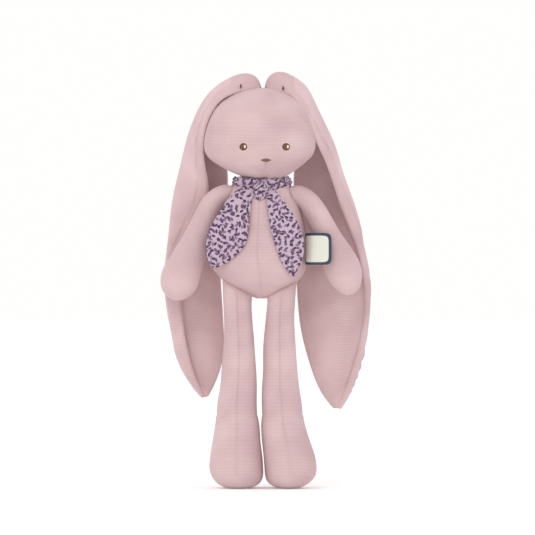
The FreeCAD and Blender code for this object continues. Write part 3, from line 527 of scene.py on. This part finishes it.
scarf_tail("right", [(257, 192), (252.5, 197), (251, 204), (249.6, 217), (248.2, 232), (245.5, 243), (240, 251.5), (232.5, 258.5), (226, 263), (220, 266.6), (215, 268)], [(246, 186.5), (236, 191), (228.4, 199), (221.3, 209), (215, 219), (209.4, 229.5), (206.6, 240.5), (206.2, 250), (207.4, 258), (209.6, 264), (212.6, 267.6)], 0.4)
scarf_tail("left", [(262, 192), (265.2, 197.5), (266.8, 207), (268.8, 221), (271.6, 234.5), (275.6, 248), (280, 260), (284, 267.5), (288.6, 273.5), (292, 276.6)], [(272, 188), (277, 193.5), (283.2, 201), (289.6, 210), (295.2, 219.5), (300.4, 231), (303.4, 242), (303.2, 252), (300.8, 262), (296.4, 271), (293.8, 276.2)], 2.0)

# neckband: a gathered roll of cloth round the neck, higher at the sides than under the chin
nv, nu = 260, 48
P = np.zeros((nv, nu, 3)); UV = np.zeros((nv, nu, 2))
for i in range(nv):
    a = 2 * math.pi * i / (nv - 1)
    cx, cy = X(261.3), mm(0.0)
    frontness = max(0.0, -math.sin(a))
    rx, ry = mm(22.3), mm(17.6)
    zc = Z(184.2) - mm(1.3) * frontness
    for j in range(nu):
        b = 2 * math.pi * j / nu
        fold = 0.00075 * math.sin(4 * b + 2.2 * math.sin(2 * a) + 5 * a) + 0.0005 * math.sin(7 * b - 9 * a)
        rw, rh = mm(2.6) + fold, mm(5.9) + fold
        r_in = rw * math.cos(b)
        P[i, j] = (cx + (rx + r_in) * math.cos(a), cy + (ry + r_in) * math.sin(a), zc + rh * math.sin(b))
        UV[i, j] = (0.022 * a, 0.6 + 0.0052 * b)
band = grid_mesh("scarf_neckband_cloth", P, UV, caps=(False, False))
give(band, PRINT, "torso", ["scarf_neckband"])
# knot: a short wrap of cloth standing across the band
nv, nu = 90, 56
P = np.zeros((nv, nu, 3)); UV = np.zeros((nv, nu, 2))
for i in range(nv):
    f = i / (nv - 1); e = math.sin(math.pi * min(0.985, max(0.015, f))) ** 0.5
    z = Z(181.8) + (Z(200.3) - Z(181.8)) * f
    for j in range(nu):
        b = 2 * math.pi * j / nu
        wr = 1 + 0.06 * math.sin(5 * b + 3 * f) + 0.05 * math.sin(9 * b - 5 * f)
        P[i, j] = (X(260.5 - 2 * (f - 0.5)) + mm(6.6) * e * wr * math.cos(b) * (1 - 0.12 * f), mm(-21.6) + mm(4.6) * e * wr * math.sin(b), z + 0.0007 * math.sin(3 * b))
        UV[i, j] = (1.1 + 0.0055 * b, 0.2 + f * 0.016)
knot = grid_mesh("scarf_knot_cloth", P, UV)
give(knot, PRINT, "torso", ["scarf_knot"])

# ---- label: a plain rounded tab with a dark woven border -----------------------------
m_lab, nt, b = new_mat("woven_label")
N, L = nt.nodes.new, nt.links.new
uv = N("ShaderNodeUVMap"); uv.uv_map = "UVMap"
sp = N("ShaderNodeSeparateXYZ"); L(uv.outputs[0], sp.inputs[0])
edge = N("ShaderNodeMath"); edge.operation = "GREATER_THAN"; edge.inputs[1].default_value = 0.0; 
edge.inputs[1].default_value = 0.0021; L(sp.outputs[0], edge.inputs[0])
mix = N("ShaderNodeMix"); mix.data_type = "RGBA"; L(edge.outputs[0], mix.inputs["Factor"])
mix.inputs[6].default_value = lin(50, 68, 84); mix.inputs[7].default_value = lin(222, 220, 208)
L(mix.outputs[2], b.inputs["Base Color"])
wv = N("ShaderNodeTexNoise"); wv.inputs["Scale"].default_value = 2500
bp = N("ShaderNodeBump"); bp.inputs["Strength"].default_value = 0.4; bp.inputs["Distance"].default_value = 0.0001
L(wv.outputs[0], bp.inputs["Height"]); L(bp.outputs[0], b.inputs["Normal"]); b.inputs["Roughness"].default_value = 0.75
path = spline([(X(304.6), mm(-8.5), 0), (X(307.0), mm(-15), 0), (X(312), mm(-19.4), 0), (X(320), mm(-20.8), 0), (X(330.7), mm(-21.2), 0)], 60)
lw = np.concatenate([[0], np.cumsum(np.linalg.norm(np.diff(path, axis=0), axis=1))])
W, H = lw[-1], mm(26.8)
n, m = 24, 96
rim = []
for j in range(m):
    a = 2 * math.pi * j / m
    c, s = math.cos(a), math.sin(a)
    k = 1 / (abs(c) ** 7 + abs(s) ** 7) ** (1 / 7)
    rim.append((k * c, k * s))
def lab_point(u, v, off):
    q = (u + 1) / 2 * W
    x = np.interp(q, lw, path[:, 0]); y = np.interp(q, lw, path[:, 1])
    dx = np.interp(q + 1e-4, lw, path[:, 0]) - np.interp(q - 1e-4, lw, path[:, 0]); dy = np.interp(q + 1e-4, lw, path[:, 1]) - np.interp(q - 1e-4, lw, path[:, 1])
    d = math.hypot(dx, dy)
    return (x + dy / d * off, y - dx / d * off, Z(249) + v * H / 2)
P = np.zeros((2 * n, m, 3)); UV = np.zeros((2 * n, m, 2))
for i in range(2 * n):
    r = (i + 0.02) / n if i < n else (2 * n - 1 - i + 0.02) / n
    r = min(1.0, r / ((n - 1 + 0.02) / n))
    off = (0.0005 if i < n else -0.0005) * (1 if r < 0.97 else 0.5)
    for j in range(m):
        P[i, j] = lab_point(rim[j][0] * r, rim[j][1] * r, off)
        UV[i, j] = ((1 - r) * 0.0125, j * 0.001)
lab = grid_mesh("side_label_tab", P, UV)
give(lab, m_lab, "label", ["side_label"])

# anything of the plain model that lies inside and isn't seen
for inside in ("neck_filling",):
    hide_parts(inside)

# ---- camera, light and stage ----------------------------------------------------------
scene = bpy.context.scene
cam = bpy.data.objects.new("camera", bpy.data.cameras.new("camera"))
scene.collection.objects.link(cam)
DIST = 4.0
cx, cz = X(267.0), Z(267.5)
cam.location = (cx, -DIST, cz)
cam.rotation_euler = (math.pi / 2, 0, 0)
cam.data.sensor_width = 36.0
cam.data.lens = 36.0 * DIST / (535 * S)
cam.data.dof.use_dof = False
cam.data.clip_end = 100
scene.camera = cam

floor = bpy.data.objects.new("floor", bpy.data.meshes.new("floor"))
R_FLOOR = 12.0
vs = [(0, 0, 0)] + [(R_FLOOR * math.cos(2 * math.pi * k / 96), R_FLOOR * math.sin(2 * math.pi * k / 96), 0) for k in range(96)]
fs = [(0, 1 + k, 1 + (k + 1) % 96) for k in range(96)]
floor.data.from_pydata(vs, [], fs); floor.data.update()
floor.data.polygons.foreach_set("use_smooth", [True] * len(fs))
scene.collection.objects.link(floor)
mf, ntf, bf = new_mat("studio_white")
bf.inputs["Base Color"].default_value = (0.93, 0.93, 0.93, 1); bf.inputs["Roughness"].default_value = 1.0; bf.inputs["Specular IOR Level"].default_value = 0.0
bf.inputs["Emission Color"].default_value = (1, 1, 1, 1); bf.inputs["Emission Strength"].default_value = 0.12
floor.data.materials.append(mf)

world = bpy.data.worlds.new("studio"); scene.world = world
world.use_nodes = True
world.node_tree.nodes["Background"].inputs[0].default_value = (1.0, 0.995, 0.99, 1)
world.node_tree.nodes["Background"].inputs[1].default_value = 1.0


def area(name, loc, target, size, energy, color=(1, 1, 1)):
    l = bpy.data.lights.new(name, "AREA"); l.shape = "RECTANGLE"; l.size, l.size_y = size; l.energy = energy; l.color = color
    o = bpy.data.objects.new(name, l); o.location = loc
    o.rotation_euler = (Vector(target) - Vector(loc)).to_track_quat("-Z", "Y").to_euler()
    scene.collection.objects.link(o)


area("key", (-0.7, -1.6, 1.5), (0, 0, 0.17), (0.8, 0.8), 5.0)
area("front", (0.0, -2.2, 0.25), (0, 0, 0.14), (1.4, 0.9), 1.5)
scene.view_settings.view_transform = "Standard"
scene.view_settings.look = "None"
scene.view_settings.exposure = 0.0
